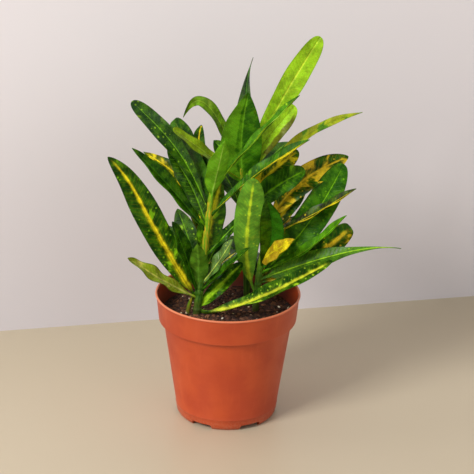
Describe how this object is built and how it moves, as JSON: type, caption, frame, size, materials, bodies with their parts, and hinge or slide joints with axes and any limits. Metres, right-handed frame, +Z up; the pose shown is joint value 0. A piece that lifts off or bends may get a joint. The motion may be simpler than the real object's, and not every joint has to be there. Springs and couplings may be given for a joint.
{
  "type": "potted croton",
  "caption": "Young croton with long variegated leaves, growing as rooted cuttings in a thin round nursery pot with a rolled lip and drain notches.",
  "frame": {"origin": "on the pot's axis, in the plane of its six feet", "axes": "+Z up the pot's axis; the plant's shown side faces -Y; +X to the right seen from there"},
  "size_m": [0.2074, 0.1366, 0.2787],
  "materials": {
    "pot_plastic": "satin terracotta-coloured moulded plastic",
    "bark_mix": "rough moist bark and peat with pale grains",
    "croton_leaf": "semi-gloss leathery leaf, dark green with yellow and lime ribs and spots"
  },
  "bodies": {
    "root": {"pot": "pot_plastic", "soil": "bark_mix", "croton_stem_left": "croton_leaf", "croton_stem_middle": "croton_leaf", "croton_stem_right": "croton_leaf"}
  },
  "joints": []
}
